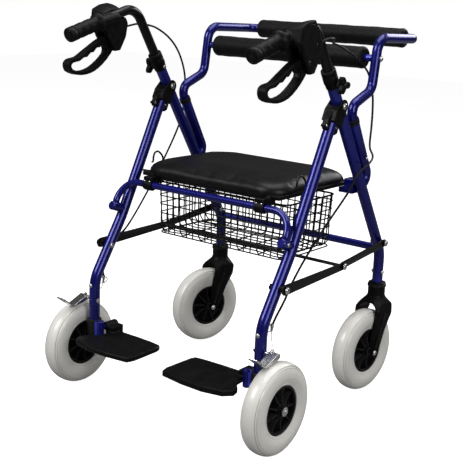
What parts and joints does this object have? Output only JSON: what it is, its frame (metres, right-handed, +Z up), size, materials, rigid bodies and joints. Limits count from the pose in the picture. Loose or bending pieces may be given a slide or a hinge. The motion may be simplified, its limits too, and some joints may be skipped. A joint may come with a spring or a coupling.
{
  "type": "rollator walker",
  "caption": "Folding four-wheeled walker with a padded seat, roll backrest, padded push bar, under-seat basket, loop-lever brakes, swivelling castors and flip-up footplates.",
  "frame": {"origin": "on the floor, midway between the two side frames and under the middle of the overall length", "axes": "+Z up. -Y towards the walking user's handles, footplates and braked wheels; +Y towards the castors, backrest and push bar. X across; the object is symmetric about X = 0 apart from the rest angles of the castors and the two cable runs. Left is the walking user's left, at -X."},
  "size_m": [0.637, 0.6996, 0.8936],
  "materials": {
    "blue_paint": "glossy deep blue metal-flake paint",
    "black_paint": "satin black paint",
    "black_plastic": "moulded black plastic with a fine grain",
    "black_foam": "smooth-skinned black foam sleeve",
    "black_vinyl": "black coated fabric with a soft sheen",
    "grey_tyre": "pale warm grey solid polyurethane, glossy",
    "zinc": "bright zinc plate",
    "black_wire": "black coated steel wire"
  },
  "bodies": {
    "frame": {"upright_left": "blue_paint", "upright_right": "blue_paint", "backrest_socket_left": "blue_paint", "backrest_socket_right": "blue_paint", "clamp_collar_left": "black_plastic", "clamp_collar_right": "black_plastic", "seat_rest_left": "blue_paint", "seat_rest_right": "blue_paint", "brake_cable_left": "black_plastic", "brake_cable_right": "black_plastic", "fold_bolt_left": "zinc", "fold_bolt_right": "zinc", "rear_crossbar": "blue_paint"},
    "backrest": {"backrest_hoop": "blue_paint", "back_rail": "blue_paint", "back_roll": "black_foam", "push_bar_roll": "black_foam"},
    "front_legs": {"front_leg_left": "blue_paint", "front_leg_right": "blue_paint", "leg_head_left": "black_plastic", "leg_head_right": "black_plastic", "front_axle_left": "zinc", "front_axle_right": "zinc", "footrest_bracket_left": "blue_paint", "footrest_bracket_right": "blue_paint", "seat_hoop": "blue_paint"},
    "brace_rear": {"rear_link_left": "black_paint", "rear_link_right": "black_paint", "brace_cross_rod": "black_paint"},
    "seat": {"seat_base": "black_plastic", "seat_pad": "black_vinyl"},
    "basket": {"basket": "black_wire"},
    "brace_front_left": {"front_link_left": "black_paint"},
    "handle_left": {"handle_tube_left": "black_paint", "grip_left": "black_plastic", "brake_housing_left": "black_plastic"},
    "lever_left": {"brake_lever_left": "black_plastic"},
    "knob_left": {"clamp_knob_left": "black_plastic"},
    "brake_left": {"brake_arm_left": "zinc"},
    "front_wheel_left": {"front_tyre_left": "grey_tyre", "front_hub_left": "black_plastic"},
    "castor_left": {"castor_fork_left": "black_plastic"},
    "castor_wheel_left": {"castor_tyre_left": "grey_tyre", "castor_hub_left": "black_plastic"},
    "footplate_left": {"footplate_left": "black_plastic"},
    "brace_front_right": {"front_link_right": "black_paint"},
    "handle_right": {"handle_tube_right": "black_paint", "grip_right": "black_plastic", "brake_housing_right": "black_plastic"},
    "lever_right": {"brake_lever_right": "black_plastic"},
    "knob_right": {"clamp_knob_right": "black_plastic"},
    "brake_right": {"brake_arm_right": "zinc"},
    "front_wheel_right": {"front_tyre_right": "grey_tyre", "front_hub_right": "black_plastic"},
    "castor_right": {"castor_fork_right": "black_plastic"},
    "castor_wheel_right": {"castor_tyre_right": "grey_tyre", "castor_hub_right": "black_plastic"},
    "footplate_right": {"footplate_right": "black_plastic"}
  },
  "joints": [
    {"name": "backrest_slide", "type": "slide", "parent": "frame", "child": "backrest", "axis": [0, -0.5027, 0.8645], "range_m": [0, 0.1]},
    {"name": "leg_fold", "type": "hinge", "parent": "frame", "child": "front_legs", "pos_m": [0, -0.00525, 0.702], "axis": [1, 0, 0], "range_deg": [0, 18]},
    {"name": "brace_rear_turn", "type": "hinge", "parent": "frame", "child": "brace_rear", "pos_m": [0, 0.20875, 0.365], "axis": [1, 0, 0], "range_deg": [0, 60]},
    {"name": "brace_front_turn_left", "type": "hinge", "parent": "front_legs", "child": "brace_front_left", "pos_m": [-0.2672, -0.20325, 0.339], "axis": [1, 0, 0], "range_deg": [-48, 0]},
    {"name": "brace_front_turn_right", "type": "hinge", "parent": "front_legs", "child": "brace_front_right", "pos_m": [0.2672, -0.20325, 0.339], "axis": [1, 0, 0], "range_deg": [-48, 0]},
    {"name": "seat_flip", "type": "hinge", "parent": "front_legs", "child": "seat", "pos_m": [0, -0.15325, 0.488], "axis": [1, 0, 0], "range_deg": [0, 80]},
    {"name": "basket_slide", "type": "slide", "parent": "front_legs", "child": "basket", "axis": [0, 1, 0], "range_m": [0, 0.28]},
    {"name": "handle_slide_left", "type": "slide", "parent": "frame", "child": "handle_left", "axis": [0, -0.5391, 0.8423], "range_m": [-0.02, 0.07]},
    {"name": "lever_squeeze_left", "type": "hinge", "parent": "handle_left", "child": "lever_left", "pos_m": [-0.262, -0.1931, 0.81058], "axis": [-1, 0, 0], "range_deg": [0, 10]},
    {"name": "knob_turn_left", "type": "hinge", "parent": "frame", "child": "knob_left", "pos_m": [-0.2715, -0.03534, 0.74889], "axis": [1, 0, 0], "continuous": true},
    {"name": "brake_press_left", "type": "hinge", "parent": "front_legs", "child": "brake_left", "pos_m": [-0.243, -0.24625, 0.212], "axis": [1, 0, 0], "range_deg": [0, 2.5]},
    {"name": "front_wheel_spin_left", "type": "hinge", "parent": "front_legs", "child": "front_wheel_left", "pos_m": [-0.289, -0.24975, 0.1], "axis": [1, 0, 0], "continuous": true},
    {"name": "castor_swivel_left", "type": "hinge", "parent": "frame", "child": "castor_left", "pos_m": [-0.243, 0.22725, 0.25], "axis": [0, 0, 1], "continuous": true},
    {"name": "castor_wheel_spin_left", "type": "hinge", "parent": "castor_left", "child": "castor_wheel_left", "pos_m": [-0.25491, 0.18282, 0.1], "axis": [0.9659, -0.2588, 0], "continuous": true},
    {"name": "footplate_flip_left", "type": "hinge", "parent": "front_legs", "child": "footplate_left", "pos_m": [-0.212, -0.22425, 0.153], "axis": [0, -1, 0], "range_deg": [0, 90]},
    {"name": "handle_slide_right", "type": "slide", "parent": "frame", "child": "handle_right", "axis": [0, -0.5391, 0.8423], "range_m": [-0.02, 0.07]},
    {"name": "lever_squeeze_right", "type": "hinge", "parent": "handle_right", "child": "lever_right", "pos_m": [0.262, -0.18609, 0.79963], "axis": [-1, 0, 0], "range_deg": [0, 10]},
    {"name": "knob_turn_right", "type": "hinge", "parent": "frame", "child": "knob_right", "pos_m": [0.2715, -0.03534, 0.74889], "axis": [1, 0, 0], "continuous": true},
    {"name": "brake_press_right", "type": "hinge", "parent": "front_legs", "child": "brake_right", "pos_m": [0.243, -0.24625, 0.212], "axis": [1, 0, 0], "range_deg": [0, 2.5]},
    {"name": "front_wheel_spin_right", "type": "hinge", "parent": "front_legs", "child": "front_wheel_right", "pos_m": [0.289, -0.24975, 0.1], "axis": [1, 0, 0], "continuous": true},
    {"name": "castor_swivel_right", "type": "hinge", "parent": "frame", "child": "castor_right", "pos_m": [0.243, 0.22725, 0.25], "axis": [0, 0, 1], "continuous": true},
    {"name": "castor_wheel_spin_right", "type": "hinge", "parent": "castor_right", "child": "castor_wheel_right", "pos_m": [0.23899, 0.18143, 0.1], "axis": [0.9962, -0.0872, 0], "continuous": true},
    {"name": "footplate_flip_right", "type": "hinge", "parent": "front_legs", "child": "footplate_right", "pos_m": [0.212, -0.22425, 0.153], "axis": [0, 1, 0], "range_deg": [0, 90]}
  ],
  "couplings": [
    {"joint": "brace_rear_turn", "follows": "leg_fold", "ratio": 3.1154},
    {"joint": "brace_front_turn_left", "follows": "leg_fold", "ratio": -2.5477},
    {"joint": "brake_press_left", "follows": "lever_squeeze_left", "ratio": 0.25},
    {"joint": "brace_front_turn_right", "follows": "leg_fold", "ratio": -2.5477},
    {"joint": "brake_press_right", "follows": "lever_squeeze_right", "ratio": 0.25}
  ]
}
